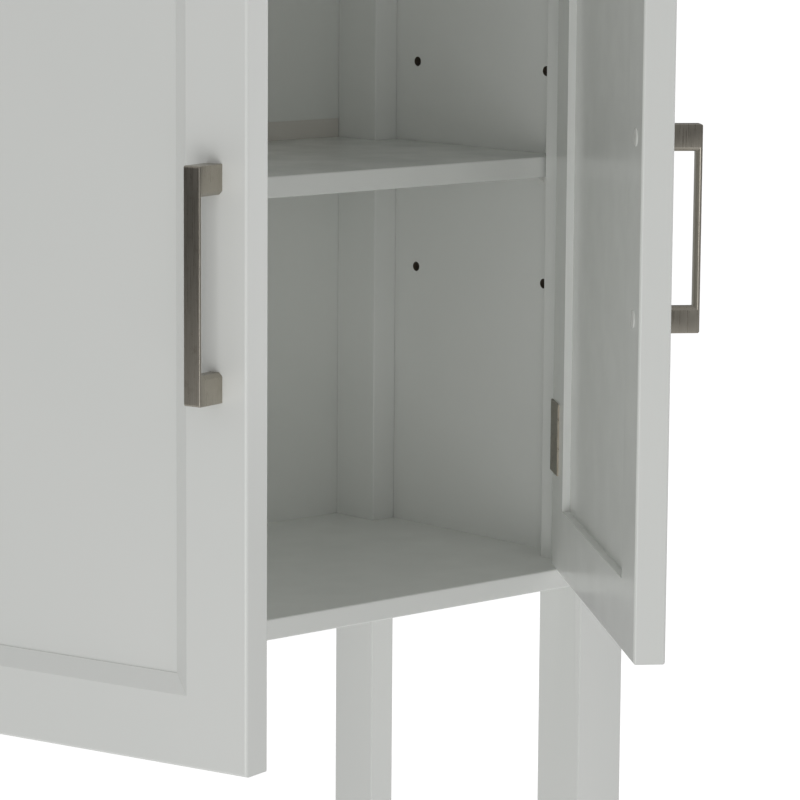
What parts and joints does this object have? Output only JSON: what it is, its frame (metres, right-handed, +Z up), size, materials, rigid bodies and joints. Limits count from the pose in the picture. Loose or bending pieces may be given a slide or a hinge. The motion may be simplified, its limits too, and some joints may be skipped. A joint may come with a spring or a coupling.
{
  "type": "apothecary cabinet",
  "caption": "White two-door cabinet on tall legs, inset framed doors standing open on wrap hinges, nickel bar handles, adjustable shelf.",
  "frame": {"origin": "on the floor, in the middle of the box that holds the cabinet with its doors open as at rest", "axes": "+Z up, +X to the right seen from the front, -Y out of the front"},
  "size_m": [0.866, 0.6674, 0.914],
  "materials": {
    "painted_board": "satin white paint on board",
    "back_sheet": "white-faced hardboard",
    "strip_plastic": "matt off-white plastic",
    "white_plastic": "moulded white plastic",
    "nickel": "satin brushed nickel",
    "zinc": "bright zinc plate",
    "dowel_wood": "plain beech",
    "nylon": "natural nylon",
    "magnet": "dark ferrite"
  },
  "bodies": {
    "cabinet": {"back_joining_strip": "strip_plastic", "back_nails": "zinc", "bottom_panel": "painted_board", "cam_bolts": "zinc", "cam_locks": "zinc", "catch_housings": "white_plastic", "catch_magnets": "magnet", "catch_screws": "zinc", "foot_glides": "nylon", "front_left_post": "painted_board", "front_right_post": "painted_board", "left_frame_leaf_screws": "nickel", "left_hinge_frame_leaves": "nickel", "left_hinge_pins": "nickel", "left_side_panel": "painted_board", "lower_back_panel": "back_sheet", "rear_left_leg": "painted_board", "rear_right_leg": "painted_board", "right_frame_leaf_screws": "nickel", "right_hinge_frame_leaves": "nickel", "right_hinge_pins": "nickel", "right_side_panel": "painted_board", "shelf_supports": "white_plastic", "top_board": "painted_board", "upper_back_panel": "back_sheet", "wood_dowels": "dowel_wood"},
    "left_door": {"left_door_hinge_stile": "painted_board", "left_door_free_stile": "painted_board", "left_door_top_rail": "painted_board", "left_door_bottom_rail": "painted_board", "left_door_panel": "painted_board", "left_hinge_door_leaves": "nickel", "left_door_leaf_screws": "nickel", "left_handle": "nickel", "left_handle_screws": "zinc", "left_screw_caps": "white_plastic", "left_strike_plate": "zinc", "left_strike_screw": "zinc"},
    "right_door": {"right_door_hinge_stile": "painted_board", "right_door_free_stile": "painted_board", "right_door_top_rail": "painted_board", "right_door_bottom_rail": "painted_board", "right_door_panel": "painted_board", "right_hinge_door_leaves": "nickel", "right_door_leaf_screws": "nickel", "right_handle": "nickel", "right_handle_screws": "zinc", "right_screw_caps": "white_plastic", "right_strike_plate": "zinc", "right_strike_screw": "zinc"},
    "shelf": {"adjustable_shelf": "painted_board"}
  },
  "joints": [
    {"name": "left_door_hinge", "type": "hinge", "parent": "cabinet", "child": "left_door", "pos_m": [-0.3712, 0.02209, 0.5845], "axis": [0, 0, -1], "range_deg": [-75, 40]},
    {"name": "right_door_hinge", "type": "hinge", "parent": "cabinet", "child": "right_door", "pos_m": [0.3712, 0.02209, 0.5845], "axis": [0, 0, 1], "range_deg": [-55, 60]},
    {"name": "shelf_lift", "type": "slide", "parent": "cabinet", "child": "shelf", "axis": [0, 0, 1], "range_m": [0, 0.06]}
  ]
}
